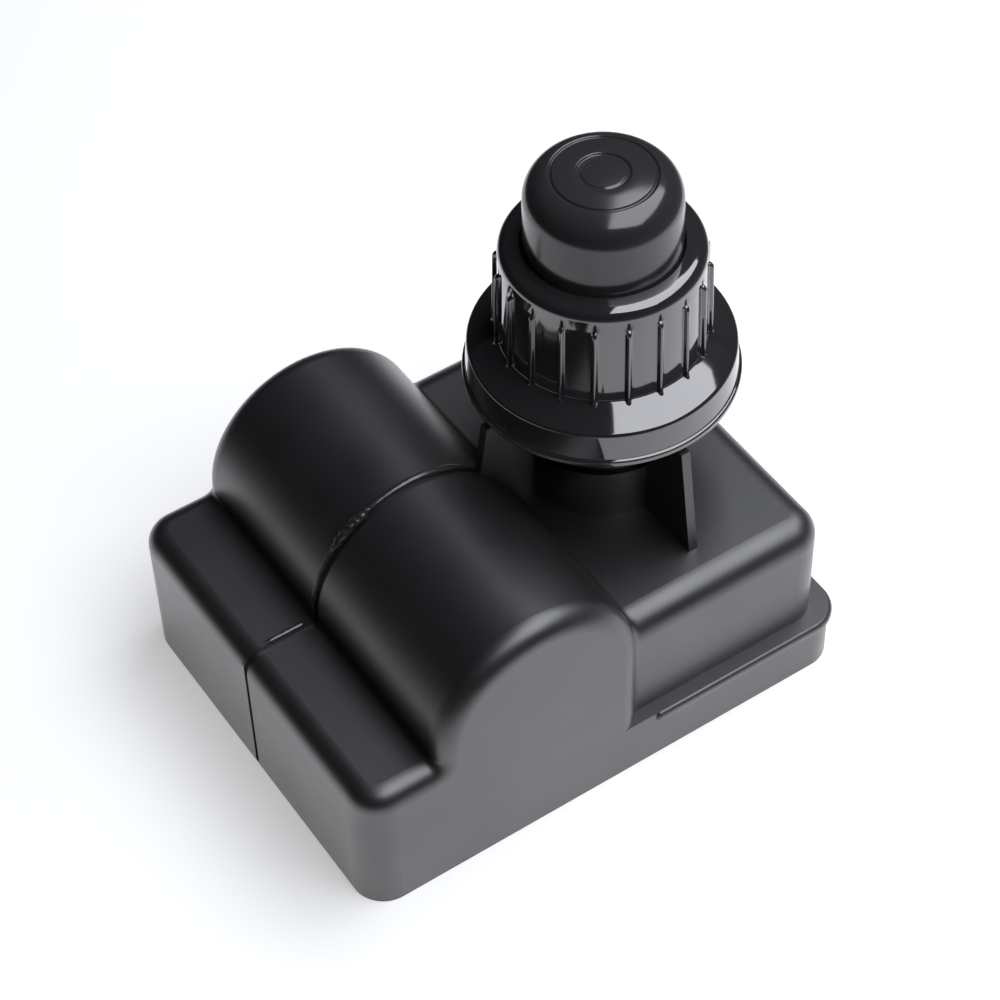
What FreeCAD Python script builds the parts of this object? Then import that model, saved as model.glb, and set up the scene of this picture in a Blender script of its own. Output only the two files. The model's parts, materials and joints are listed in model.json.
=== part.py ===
import FreeCAD, Part
import math
import os

V = FreeCAD.Vector

# Pushbutton spark igniter for a gas grill: a two-shell moulded housing, an AA cell standing in a
# threaded neck, a flanged ring nut with grip ribs, and a domed push button.
# Millimetres. X runs along the housing, the front faces -Y, the neck points up +Z, and the
# origin is the middle of the footprint on the surface that the housing stands on.

# Housing
body_length = 74.8        # left face to right base wall
body_depth = 57.4         # front face to rear face
left_top = 21.7           # height of the low step on the left
right_top = 26.2          # height of the box that carries the neck
wall = 1.8                # moulded wall thickness
corner_r = 4.5            # upright corners of the footprint
left_edge_r = 2.8         # round along the low step's top and the hump's two ends
right_edge_r = 3.6        # round along the top of the box
box_step = 1.9            # how far the box stands back from the base
ledge_top = 8.6           # top of the ledge round the box
bead_height = 1.8         # rounded rim along the ledge
bead_proud = 0.5          # how far the rim stands out of the base wall
bead_gap = 2.4            # from the hump's side to the end of the rim
hump_place = 0.35227      # axis of the half-round hump, as a share of the body's length from its left face
hump_share = 0.20588      # the hump's radius, as a share of the body's length
hump_z = 22.8
left_crease_r = 0.9       # inner rounds where the hump meets the two tops
right_crease_r = 1.6
split_y = 0.4             # joint plane between the two shells
seam_width = 0.7          # open groove in the front shell along the joint
seam_depth = 0.45
ridge_width = 0.6         # raised edge of the rear shell along the joint
ridge_height = 0.25

# Neck and the gussets that carry the panel
neck_inset = 19.45        # from the right base wall to the neck's axis
neck_r = 11.0
thread_depth = 0.7
thread_below = 8.4        # how far the thread runs down between the gussets
gusset_t = 1.3
gusset_foot = 20.6        # reach from the neck axis on the box
gusset_head = 18.2        # reach from the neck axis under the nut
gusset_gap = 0.66         # left under the nut for the panel
gusset_angles = (90, 180, 270)
short_over = 1.55         # how far the gusset on the right runs onto the box's rounded edge
short_lean = 1.1          # how much less it reaches at its top

# Base, screws and outlets
base_t = 2.2
fit_gap = 0.1             # clearance of pieces that drop into each other
boss_r = 3.4
boss_bury = 0.4           # how far a screw boss runs into the wall
screw_r = 1.1
screw_fit = 0.02
screw_head_r = 2.4
screw_length = 9.0
outlet_count = 5
outlet_share = 0.15331    # pitch of the outlets, as a share of the body's depth
outlet_inset = 13.65      # from the left face to the row of outlets
well_gap = 2.0            # between two wells
well_across = 6.0
well_depth = 8.6
block_wall = 1.3
block_lip = 0.9
tab_width = 4.8
tab_t = 0.8
tab_recess = 1.0
tab_tail = 4.0            # solder end above the block
tail_width = 2.4

# Cell and contacts
cell_r = 7.25
cell_can = 49.0
cell_nub = 1.5
cell_nub_r = 2.75
cell_edge = 0.5           # bevel round the can's foot
cell_neck = 0.8           # bevel round the can's top
cell_play = 0.25          # round the cell in its tube
cell_proud = 0.9          # how far the cell stands out of the neck
tube_wall = 1.7
contact_t = 0.4
contact_rise = 2.2        # height of the sprung leaf under the cell
strip_width = 3.0
strip_height = 12.0       # where the switch strip turns to the board

# Ring nut, heights from its lower face
nut_drop = 11.84          # from the cell's cap down to the nut's lower face
nut_lip_r = 17.94
nut_lip = 0.96
nut_lip_proud = 0.39
nut_draft = 0.25          # taper of the flange's side
nut_edge = 0.25           # small bevels of the beaded lip
nut_rim = 5.15
nut_rim_round = 0.7
nut_slope = 0.7           # rise of the flange top towards the collar
neck_fit = 0.2            # between the neck's thread and the nut's bore
collar_wall = 2.2         # wall of the collar at its foot
collar_draft = 0.3        # how much narrower the collar is at its top
collar_top = 22.1
collar_round = 1.7        # round over the collar's outer edge
collar_tilt = 8.0         # slope in degrees where that round begins
foot_round = 0.25         # hollow round between flange and collar
mouth_lip = 1.05          # how far the mouth's lip stands in from the bore
mouth_round = 0.3
mouth_t = 2.95            # thickness of the inner lip that holds the button
rib_count = 20
rib_proud = 0.6
rib_width = 0.8
rib_top = 19.0
rib_phase = -3.4
under_wall = 1.2          # flange wall outside the moulded hollow under it
under_ring = 1.8          # ring left between the bore and the hollow
under_depth = 3.2

# Button, spring and contact plate
button_gap = 0.25         # between the button and the mouth
button_flange_fit = 0.25
button_flange_t = 1.5
button_flare = 0.1        # the side's draft down to its flange
button_rise = 11.0        # crown above the collar
button_travel = 3.0
button_wall = 1.8
button_round = 4.1        # round shoulder of the dome
groove_r = 6.8            # outer radius of the outer ring groove
groove_width = 0.55
groove_depth = 0.3
groove_side = 0.1         # lean of the grooves' sides
crown_rise = 0.24         # crown of the band above the groove's edge
dish_r = 3.45             # outer radius of the inner ring groove
dish_width = 0.8
dish_depth = 0.25
plate_t = 0.5
plate_gap = 0.1           # between the pressed button and the plate
plate_cup_r = 2.6
retainer_t = 1.7
retainer_width = 3.2
retainer_fit = 0.02
spring_r = 6.0
spring_wire_r = 0.45
spring_turns = 4.0

# Circuit board; places and widths along it are given for a room of part_room beside the boss
board_t = 1.6
board_gap = 1.7           # from the cell tube
board_height = 20.0
board_inset = 0.9         # from the hump's side
board_play = 0.45         # from the box's wall
part_room = 21.6
ferrite_at = (5.9, 14.0)
ferrite_size = (10.0, 6.5, 9.0)
ferrite_limb = 1.2        # outer limbs of the frame
ferrite_leg = 2.6         # middle leg
winding_depth = 7.4
winding_height = 5.8
winding_round = 0.6
capacitor_at = (12.0, 10.5)
capacitor_size = (9.4, 6.0, 9.0)
capacitor_round = 0.7
can_r = 2.4
can_off = 2.0             # how far the cans stand off the board
can_length = 4.5
can_flat = 1.3            # from the can's axis to its flat
can_pitch = 1.27
can_leg_r = 0.25
thyristor_at = (19.0, 2.8)
transistor_at = (19.0, 7.2)
axial_pitch = 3.6
axial_reach = 1.4         # wire beyond each end of a body
axial_off = 0.6           # from a body to the board, and the bend of its wire
axial_wire_r = 0.25
diode_at = (4.1, 3.0)
diode_r = 1.2
diode_length = 4.4
resistor_at = (12.85, 3.0)
resistor_r = 1.0
resistor_length = 5.4

# High-voltage transformer in the hump
core_share = 0.18657      # radii of core, coils and flanges, as shares of the end discs' radius
coil_share = 0.70896
flange_share = 0.85821
core_gap = 1.9            # from the core's end to the housing wall
primary_t = 0.9
bobbin_wall = 1.0
bobbin_play = 0.1
flange_t = 1.2
end_flange_t = 1.5
hump_play = 0.2
lead_r = 0.4

# Derived places
left_x = -(body_length + bead_proud) / 2
wall_x = left_x + body_length
half_depth = body_depth / 2
box_x = wall_x - box_step
box_half = half_depth - box_step
hump_x = left_x + body_length * hump_place
hump_r = body_length * hump_share
seat_r = hump_r - wall - hump_play
core_r = seat_r * core_share
coil_r = seat_r * coil_share
flange_r = seat_r * flange_share
core_half = half_depth - wall - core_gap
neck_x = wall_x - neck_inset
thread_root_r = neck_r - thread_depth
bore_r = cell_r + cell_play
tube_r = bore_r + tube_wall
cell_z = base_t + contact_rise
cell_top = cell_z + cell_can + cell_nub
neck_top = cell_top - cell_proud
nut_z = cell_top - nut_drop
gusset_top = nut_z - gusset_gap
thread_start = gusset_top - thread_below
short_foot = box_x - right_edge_r - neck_x + short_over
short_head = short_foot - short_lean
outlet_x = left_x + outlet_inset
outlet_pitch = body_depth * outlet_share
well_width = outlet_pitch - well_gap
nut_side_r = nut_lip_r - nut_lip_proud
nut_rim_r = nut_side_r - nut_draft
nut_bore_r = neck_r + neck_fit
under_r0 = nut_bore_r + under_ring
under_r1 = nut_rim_r - under_wall
collar_foot_r = nut_bore_r + collar_wall
collar_r = collar_foot_r - collar_draft
mouth_r = nut_bore_r - mouth_lip
button_r = mouth_r - button_gap
button_flange_r = nut_bore_r - button_flange_fit
retainer_r = nut_bore_r - retainer_width
collar_z = nut_z + collar_top
mouth_z = collar_z - mouth_t
button_top = collar_z + button_rise
flange_top = mouth_z - fit_gap
flange_bottom = flange_top - button_flange_t
plate_z = flange_bottom - button_travel - plate_gap - plate_t
hollow_top = button_top - groove_depth - button_wall
board_y = -(tube_r + board_gap)
board_face = board_y - board_t
board_left = hump_x + hump_r + board_inset
board_right = box_x - wall - board_play
boss_left = box_x - wall - 2 * boss_r + boss_bury
part_scale = (boss_left - board_play - board_left) / part_room
slot_y = -(bore_r + contact_t + fit_gap * 5)
lower_z = -1.0            # where cuts start below the base


def box(x0, x1, y0, y1, z0, z1):
    return Part.makeBox(x1 - x0, y1 - y0, z1 - z0, V(x0, y0, z0))


def rod(r, x, y, z0, z1):
    return Part.makeCylinder(r, z1 - z0, V(x, y, z0))


def rod_y(r, x, z, y0, y1):
    return Part.makeCylinder(r, y1 - y0, V(x, y0, z), V(0, 1, 0))


def revolve(points, x, y):
    """Turns a closed outline of (radius, height) points round an upright axis."""
    wire = Part.makePolygon([V(r, 0, z) for r, z in points + points[:1]])
    solid = Part.Face(wire).revolve(V(0, 0, 0), V(0, 0, 1), 360)
    return solid.translated(V(x, y, 0))


def near(a, b):
    return abs(a - b) < 1e-4


def upright(edge):
    a, b = edge.Vertexes[0].Point, edge.Vertexes[-1].Point
    return near(a.x, b.x) and near(a.y, b.y) and not near(a.z, b.z)


def block(x0, x1, half, z0, z1, upright_r, top_r):
    """A block with rounded upright edges at its x1 end and a round along the top, open at x0."""
    solid = box(min(x0, x1), max(x0, x1), -half, half, z0, z1)
    corners = [e for e in solid.Edges if upright(e) and near(e.Vertexes[0].X, x1)]
    solid = solid.makeFillet(upright_r, corners)
    if top_r > 0:
        top = [e for e in solid.Edges
               if all(near(v.Z, z1) for v in e.Vertexes)
               and not all(near(v.X, x0) for v in e.Vertexes)]
        solid = solid.makeFillet(top_r, top)
    return solid


def box_form(inset, z0):
    return block(hump_x, box_x - inset, box_half - inset, z0, right_top - inset,
                 corner_r - inset, right_edge_r - inset)


def base_form(inset, z0):
    return block(hump_x, wall_x - inset, half_depth - inset, z0, ledge_top - inset,
                 corner_r - inset, 0)


def hump_arc(r, half):
    """The half circle over the hump, from its left side to its right."""
    return Part.Arc(V(hump_x - r, -half, hump_z), V(hump_x, -half, hump_z + r),
                    V(hump_x + r, -half, hump_z)).toShape()


def hump_form(inset, z0):
    r = hump_r - inset
    half = half_depth - inset
    left, right = V(hump_x - r, -half, hump_z), V(hump_x + r, -half, hump_z)
    foot_l, foot_r = V(left.x, -half, z0), V(right.x, -half, z0)
    wire = Part.Wire([Part.makeLine(foot_l, left), hump_arc(r, half),
                      Part.makeLine(right, foot_r), Part.makeLine(foot_r, foot_l)])
    return Part.Face(wire).extrude(V(0, 2 * half, 0))


def step_form(inset):
    """The low step with its crease and the hump as one outline, rounded along every outer edge."""
    half = half_depth - inset
    x0, top = left_x + inset, left_top - inset
    r = hump_r - inset
    crease = left_crease_r + inset
    rise = max(0.0, top + crease - hump_z)
    centre = V(hump_x - math.sqrt((r + crease) ** 2 - rise ** 2), -half, top + crease)
    side = V(hump_x - r, -half, hump_z)
    touch = V(side.x, -half, centre.z)
    if rise > 0:
        axis = V(hump_x, -half, hump_z)
        touch = axis + (centre - axis) * (r / (r + crease))
    middle = (touch + V(centre.x, -half, top)) * 0.5 - centre
    middle = centre + middle * (crease / middle.Length)
    start, corner = V(x0, -half, 0), V(x0, -half, top)
    foot = V(centre.x, -half, top)
    right = V(hump_x + r, -half, hump_z)
    end = V(right.x, -half, 0)
    edges = [Part.makeLine(start, corner), Part.makeLine(corner, foot),
             Part.Arc(foot, middle, touch).toShape()]
    if rise > 0:
        crown = V(hump_x, -half, hump_z + r)
        edges.append(Part.Arc(touch, crown, right).toShape())
    else:
        edges += [Part.makeLine(touch, side), hump_arc(r, half)]
    edges += [Part.makeLine(right, end), Part.makeLine(end, start)]
    solid = Part.Face(Part.Wire(edges)).extrude(V(0, 2 * half, 0))
    corners = [e for e in solid.Edges if upright(e) and near(e.Vertexes[0].X, x0)]
    solid = solid.makeFillet(corner_r - inset, corners)
    ends = [e for e in solid.Edges if near(e.BoundBox.ZMax, hump_z + r)
            and near(e.BoundBox.YMin, e.BoundBox.YMax)]
    return solid.makeFillet(left_edge_r - inset, ends)


def rim_bead():
    """The rounded rim along the ledge, on the front, right and rear."""
    x0 = hump_x + hump_r + bead_gap
    x1 = wall_x + bead_proud
    half = half_depth + bead_proud
    solid = box(x0, x1, -half, half, ledge_top - bead_height, ledge_top)
    far = [e for e in solid.Edges if upright(e) and near(e.Vertexes[0].X, x1)]
    solid = solid.makeFillet(corner_r + bead_proud, far)
    end = [e for e in solid.Edges if upright(e) and near(e.Vertexes[0].X, x0)]
    solid = solid.makeFillet(bead_proud, end)
    rim = [e for e in solid.Edges if near(e.Vertexes[0].Z, e.Vertexes[-1].Z)]
    return solid.makeFillet(bead_height * 0.42, rim)


def gusset(angle, foot, head):
    profile = [V(thread_root_r, 0, right_top - wall), V(foot, 0, right_top - wall),
               V(foot, 0, right_top), V(head, 0, gusset_top), V(thread_root_r, 0, gusset_top)]
    face = Part.Face(Part.makePolygon(profile + profile[:1]))
    fin = face.extrude(V(0, gusset_t, 0)).translated(V(0, -gusset_t / 2, 0))
    fin.rotate(V(0, 0, 0), V(0, 0, 1), angle)
    return fin.translated(V(neck_x, 0, 0))


def neck_form():
    lower = rod(neck_r, neck_x, 0, right_top - wall, thread_start)
    upper = rod(thread_root_r, neck_x, 0, thread_start, neck_top)
    return [lower, upper]


def outer_body(inset):
    body = step_form(inset).fuse([box_form(inset, 0), base_form(inset, 0)])
    return body.removeSplitter()


def hump_half_width(z):
    """Half the hump's width at a height; its sides are upright below its axis."""
    return math.sqrt(hump_r ** 2 - max(0.0, z - hump_z) ** 2)


def round_crease(body):
    """Rounds the inner edge where the hump rises out of the top of the box."""
    x = hump_x + hump_half_width(right_top)
    crease = [e for e in body.Edges if e.Length > half_depth
              and all(near(v.X, x) and near(v.Z, right_top) for v in e.Vertexes)]
    return body.makeFillet(right_crease_r, crease)


def boss_places():
    """Centres of the four screw bosses: two in the step, two in the box."""
    reach = wall + boss_r - boss_bury
    left = left_x + reach
    right = box_x - reach
    return [(left, half_depth - reach, left_top), (left, -half_depth + reach, left_top),
            (right, box_half - reach, right_top), (right, -box_half + reach, right_top)]


def cavity():
    """The hollow inside the walls, with the cell tube and the screw bosses left standing."""
    hollow = block(hump_x, left_x + wall, half_depth - wall, lower_z, left_top - wall,
                   corner_r - wall, 0)
    hollow = hollow.fuse([
        hump_form(wall, lower_z),
        block(hump_x, box_x - wall, box_half - wall, lower_z, right_top - wall,
              corner_r - wall, 0),
        block(hump_x, wall_x - wall, half_depth - wall, lower_z, ledge_top - wall,
              corner_r - wall, 0)])
    keep = [rod(tube_r, neck_x, 0, base_t, right_top)]
    keep += [rod(boss_r, x, y, base_t, top) for x, y, top in boss_places()]
    return hollow.cut(keep)


def screw_hole(x, y):
    return rod(screw_r + screw_fit, x, y, lower_z, screw_length + fit_gap)


def strip_slot():
    """The channel for the switch strip, open through the tube where the strip turns out."""
    half = strip_width / 2 + fit_gap
    channel = box(neck_x - half, neck_x + half, slot_y, 0, strip_height - fit_gap, neck_top + 1)
    window = box(neck_x - half, neck_x + half, -tube_r - 1, 0,
                 strip_height - fit_gap, strip_height + contact_t + fit_gap)
    foot = box(neck_x - cell_nub_r - fit_gap, neck_x + cell_nub_r + fit_gap, -tube_r - 1, 0,
               base_t - fit_gap, base_t + contact_t + fit_gap)
    return [channel, window, foot]


def housing():
    """The whole moulded housing, before it is parted into its two shells."""
    body = round_crease(outer_body(0))
    gussets = [gusset(a, gusset_foot, gusset_head) for a in gusset_angles]
    gussets.append(gusset(0, short_foot, short_head))
    body = body.fuse([rim_bead()] + neck_form() + gussets)
    bore = rod(bore_r, neck_x, 0, base_t - fit_gap, neck_top + 1)
    cuts = [cavity(), bore] + strip_slot() + [screw_hole(x, y) for x, y, top in boss_places()]
    return body.cut(cuts).removeSplitter()


def front_shell(whole):
    reach = body_length * 2
    front = whole.common(box(-reach, reach, -reach, split_y, lower_z, button_top))
    skin = outer_body(0).cut(outer_body(seam_depth))
    groove = skin.common(box(-reach, neck_x - neck_r, split_y - seam_width, split_y,
                             seam_depth, button_top))
    return front.cut(groove).removeSplitter()


def rear_shell(whole):
    reach = body_length * 2
    rear = whole.common(box(-reach, reach, split_y, reach, lower_z, button_top))
    ridge = outer_body(-ridge_height).cut(outer_body(seam_depth))
    edge = ridge.common(box(-reach, hump_x + hump_r * 0.9, split_y, split_y + ridge_width,
                            left_top - left_edge_r, button_top))
    edge = edge.common(box(left_x, reach, -reach, reach, lower_z, button_top))
    return rear.fuse(edge).removeSplitter()


def base_cover():
    gap = wall + fit_gap
    plate = block(0, left_x + gap, half_depth - gap, 0, base_t, corner_r - gap, 0)
    plate = plate.fuse(block(0, wall_x - gap, half_depth - gap, 0, base_t, corner_r - gap, 0))
    half_x = well_across / 2 + block_wall + fit_gap
    half_y = block_half() + fit_gap
    cuts = [box(outlet_x - half_x, outlet_x + half_x, -half_y, half_y, lower_z, base_t + 1)]
    for x, y, top in boss_places():
        cuts.append(rod(screw_r + fit_gap, x, y, lower_z, base_t + 1))
        cuts.append(Part.makeCone(screw_head_r + fit_gap, screw_r + fit_gap, screw_head_r - screw_r,
                                  V(x, y, 0)))
    return plate.cut(cuts).removeSplitter()


def base_screws():
    screws = []
    for x, y, top in boss_places():
        head = Part.makeCone(screw_head_r, screw_r, screw_head_r - screw_r, V(x, y, 0))
        shank = rod(screw_r, x, y, 0, screw_length - screw_r)
        tip = Part.makeCone(screw_r, screw_r / 4, screw_r, V(x, y, screw_length - screw_r))
        drive = rod(screw_r, x, y, lower_z, screw_r / 2)
        screws.append(head.fuse([shank, tip]).cut(drive).removeSplitter())
    return Part.makeCompound(screws)


def block_half():
    return outlet_pitch * (outlet_count - 1) / 2 + well_width / 2 + block_wall


def outlet_places():
    first = -outlet_pitch * (outlet_count - 1) / 2
    return [first + outlet_pitch * i for i in range(outlet_count)]


def terminal_block():
    half_x = well_across / 2 + block_wall
    height = well_depth + block_wall
    body = box(outlet_x - half_x, outlet_x + half_x, -block_half(), block_half(), 0, height)
    lip = box(outlet_x - half_x - block_lip, outlet_x + half_x + block_lip,
              -block_half() - block_lip, block_half() + block_lip, base_t, base_t + block_wall)
    cuts = []
    for y in outlet_places():
        cuts.append(box(outlet_x - well_across / 2, outlet_x + well_across / 2,
                        y - well_width / 2, y + well_width / 2, lower_z, well_depth))
        cuts.append(box(outlet_x - tab_t / 2, outlet_x + tab_t / 2,
                        y - tab_width / 2, y + tab_width / 2, well_depth - 1, height + 1))
    return body.fuse(lip).cut(cuts).removeSplitter()


def outlet_tab(y):
    """A spade tab with a pointed lower end and a narrow solder tail."""
    half, tail = tab_width / 2, tail_width / 2
    top = well_depth + block_wall
    end = top + tab_tail
    points = [(-half + tab_t, tab_recess), (half - tab_t, tab_recess), (half, tab_recess + tab_t),
              (half, top), (tail, top), (tail, end), (-tail, end), (-tail, top), (-half, top),
              (-half, tab_recess + tab_t)]
    outline = [V(outlet_x - tab_t / 2, y + a, z) for a, z in points]
    tab = Part.Face(Part.makePolygon(outline + outline[:1])).extrude(V(tab_t, 0, 0))
    eye = Part.makeCylinder(tab_t, tab_t * 3, V(outlet_x - tab_t * 1.5, y, well_depth * 0.45),
                            V(1, 0, 0))
    return tab.cut(eye)


def hv_core():
    return rod_y(core_r, hump_x, hump_z, -core_half, core_half)


def coil_half():
    return outlet_pitch * outlet_count / 2


def hv_primary():
    outer = rod_y(core_r + primary_t, hump_x, hump_z, -coil_half(), coil_half())
    return outer.cut(rod_y(core_r, hump_x, hump_z, -body_depth, body_depth))


def bobbin_hole_r():
    return core_r + primary_t + bobbin_play


def bobbin_tube_r():
    return bobbin_hole_r() + bobbin_wall


def hv_bobbin():
    """Five coil chambers between thin flanges, and a wide disc at each end that sits in the hump."""
    hole, tube = bobbin_hole_r(), bobbin_tube_r()
    end = half_depth - wall - fit_gap
    solid = rod_y(tube, hump_x, hump_z, -end, end)
    discs = []
    for i in range(outlet_count + 1):
        y = -coil_half() + outlet_pitch * i
        discs.append(rod_y(flange_r, hump_x, hump_z, y - flange_t / 2, y + flange_t / 2))
    for side in (-end, end - end_flange_t):
        discs.append(rod_y(seat_r, hump_x, hump_z, side, side + end_flange_t))
    solid = solid.fuse(discs)
    return solid.cut(rod_y(hole, hump_x, hump_z, -body_depth, body_depth)).removeSplitter()


def hv_secondary():
    coils = []
    for y in outlet_places():
        half = (outlet_pitch - flange_t) / 2
        ring = rod_y(coil_r, hump_x, hump_z, y - half, y + half)
        coils.append(ring.cut(rod_y(bobbin_tube_r(), hump_x, hump_z, y - outlet_pitch, y + outlet_pitch)))
    return Part.makeCompound(coils)


def hv_leads():
    """A wire from each tab's tail, bent over to its own coil."""
    leads = []
    top = left_top - wall - lead_r * 2 - fit_gap
    start = well_depth + block_wall + tab_tail
    reach = hump_x - math.sqrt(coil_r ** 2 - (hump_z - top - lead_r) ** 2)
    lead_bend = (reach - outlet_x) / 2
    for y in outlet_places():
        a, b = V(outlet_x, y, start), V(outlet_x, y, top - lead_bend)
        c, e = V(outlet_x + lead_bend, y, top), V(reach, y, top)
        k = lead_bend * (1 - math.sqrt(0.5))
        mid = V(outlet_x + k, y, top - k)
        path = Part.Wire([Part.makeLine(a, b), Part.Arc(b, mid, c).toShape(), Part.makeLine(c, e)])
        ring = Part.Wire(Part.makeCircle(lead_r, a, V(0, 0, 1)))
        leads.append(path.makePipeShell([ring], True, True))
    return Part.makeCompound(leads)


def circuit_board():
    return box(board_left, board_right, board_face, board_y,
               base_t + fit_gap, base_t + fit_gap + board_height)


def on_board(place):
    """A place on the board as x and z."""
    return board_left + place[0] * part_scale, base_t + place[1]


def board_block(x, z, size, past=0.0):
    """A block against the board's face, centred on x and z, or reaching past that face."""
    width, depth, height = size
    half = width * part_scale / 2
    return box(x - half, x + half, board_face - depth, board_face + past, z - height / 2, z + height / 2)


def oscillator_core():
    """A closed ferrite frame with a middle leg, lying against the board."""
    x, z = on_board(ferrite_at)
    width, depth, height = ferrite_size
    window = (width - 2 * ferrite_limb - ferrite_leg) / 2
    step = (ferrite_leg + window) / 2 * part_scale
    hole = (window, depth * 2, height - 2 * ferrite_limb)
    windows = [board_block(x + side * step, z, hole, depth) for side in (-1, 1)]
    return board_block(x, z, ferrite_size).cut(windows)


def oscillator_winding():
    """Wire wound round the middle leg of the frame."""
    x, z = on_board(ferrite_at)
    width = ferrite_size[0] - 2 * ferrite_limb - 2 * fit_gap
    body = board_block(x, z, (width, winding_depth, winding_height))
    body = body.makeFillet(winding_round,
                           [e for e in body.Edges if near(e.Vertexes[0].X, e.Vertexes[-1].X)
                            and near(e.Vertexes[0].Y, e.Vertexes[-1].Y)])
    leg = board_block(x, z, (ferrite_leg, ferrite_size[1], ferrite_size[2]), ferrite_size[1])
    return body.cut(leg)


def storage_capacitor():
    width, depth, height = capacitor_size
    x, z = on_board((capacitor_at[0] + width / 2, capacitor_at[1] + height / 2))
    body = board_block(x, z, capacitor_size)
    face = board_face - depth
    return body.makeFillet(capacitor_round, [e for e in body.Edges if near(e.Vertexes[0].Y, face)
                                             or near(e.Vertexes[-1].Y, face)])


def flat_can(place):
    """A half-round three-leg case standing off the board on its legs."""
    x, z = on_board(place)
    near_end = board_face - can_off
    far_end = near_end - can_length
    body = rod_y(can_r, x, z, far_end, near_end)
    body = body.cut(box(x - can_r * 2, x + can_r * 2, far_end - 1, board_face,
                        z + can_flat, z + can_r * 2))
    legs = [rod_y(can_leg_r, x + side * can_pitch * part_scale, z, near_end - can_leg_r, board_face)
            for side in (-1, 0, 1)]
    return body.fuse(legs).removeSplitter()


def axial_part(x, z, radius, length):
    """A round body on a wire whose two ends turn into the board."""
    bend = axial_off
    y = board_face - radius - bend
    half = length * part_scale / 2
    reach = half + axial_reach * part_scale
    k = bend * (1 - math.sqrt(0.5))
    body = Part.makeCylinder(radius, half * 2, V(x - half, y, z), V(1, 0, 0))
    a, b, c = V(x - reach, board_face, z), V(x - reach, y + bend, z), V(x - reach + bend, y, z)
    d, e, f = V(x + reach - bend, y, z), V(x + reach, y + bend, z), V(x + reach, board_face, z)
    path = Part.Wire([Part.makeLine(a, b), Part.Arc(b, V(x - reach + k, y + k, z), c).toShape(),
                      Part.makeLine(c, d), Part.Arc(d, V(x + reach - k, y + k, z), e).toShape(),
                      Part.makeLine(e, f)])
    ring = Part.Wire(Part.makeCircle(axial_wire_r, a, V(0, 1, 0)))
    return body.fuse(path.makePipeShell([ring], True, True)).removeSplitter()


def axial_pair(place, radius, length):
    x, z = on_board(place)
    return Part.makeCompound([axial_part(x, z + axial_pitch * i, radius, length)
                              for i in range(2)])


def switch_strip():
    """A brass strip from over the neck's rim down the tube and out to the board."""
    inner = -bore_r - contact_t
    outer = inner - contact_t
    tab_end = -thread_root_r + fit_gap
    top = neck_top + contact_t
    points = [(tab_end, top), (inner, top), (inner, strip_height), (board_y, strip_height),
              (board_y, strip_height + contact_t), (outer, strip_height + contact_t),
              (outer, neck_top), (tab_end, neck_top)]
    outline = [V(neck_x - strip_width / 2, y, z) for y, z in points]
    return Part.Face(Part.makePolygon(outline + outline[:1])).extrude(V(strip_width, 0, 0))


def negative_contact():
    """A leaf folded back under the cell, with its tail run to the board."""
    x = neck_x - cell_nub_r
    z0, z1 = base_t, base_t + contact_t
    z3, z2 = cell_z, cell_z - contact_t
    turn, back = cell_r * 0.6, -cell_r * 0.55
    mid = (z0 + z3) / 2
    outer_r, inner_r = (z3 - z0) / 2, (z2 - z1) / 2
    p = [V(x, y, z) for y, z in ((board_y, z0), (turn, z0), (turn, z3), (back, z3), (back, z2),
                                 (turn, z2), (turn, z1), (board_y, z1))]
    edges = [Part.makeLine(p[0], p[1]),
             Part.Arc(p[1], V(x, turn + outer_r, mid), p[2]).toShape(),
             Part.makeLine(p[2], p[3]), Part.makeLine(p[3], p[4]), Part.makeLine(p[4], p[5]),
             Part.Arc(p[5], V(x, turn + inner_r, mid), p[6]).toShape(),
             Part.makeLine(p[6], p[7]), Part.makeLine(p[7], p[0])]
    return Part.Face(Part.Wire(edges)).extrude(V(cell_nub_r * 2, 0, 0))


def battery_cell():
    can_top = cell_z + cell_can
    return revolve([(0, cell_z), (cell_r - cell_edge, cell_z), (cell_r, cell_z + cell_edge),
                    (cell_r, can_top - cell_neck), (cell_r - cell_neck, can_top), (cell_nub_r, can_top),
                    (cell_nub_r, cell_top), (0, cell_top)], neck_x, 0)


def rib_tool(angle):
    """One grip rib with a rounded ridge, standing on the collar's slightly tapered wall."""
    foot = nut_z + nut_rim
    top = nut_z + rib_top
    half = rib_width / 2
    outer = collar_foot_r + rib_proud - half
    round_part = rod(half, outer, 0, foot, top)
    web = box(collar_r - 1.0, outer, -half, half, foot, top)
    rib = round_part.fuse(web)
    slope = math.degrees(math.atan2(collar_foot_r - collar_r, collar_top - nut_rim))
    rib.rotate(V(collar_foot_r, 0, foot), V(0, 1, 0), -slope)
    rib.rotate(V(0, 0, 0), V(0, 0, 1), angle)
    return rib.translated(V(neck_x, 0, 0))


def arc_points(r, z, radius, low, high):
    """Three points of an arc about (r, z); its angles lean outward from straight up, in degrees."""
    angles = [math.radians(a) for a in (low, (low + high) / 2, high)]
    return [V(r + radius * math.sin(a), 0, z + radius * math.cos(a)) for a in angles]


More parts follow.
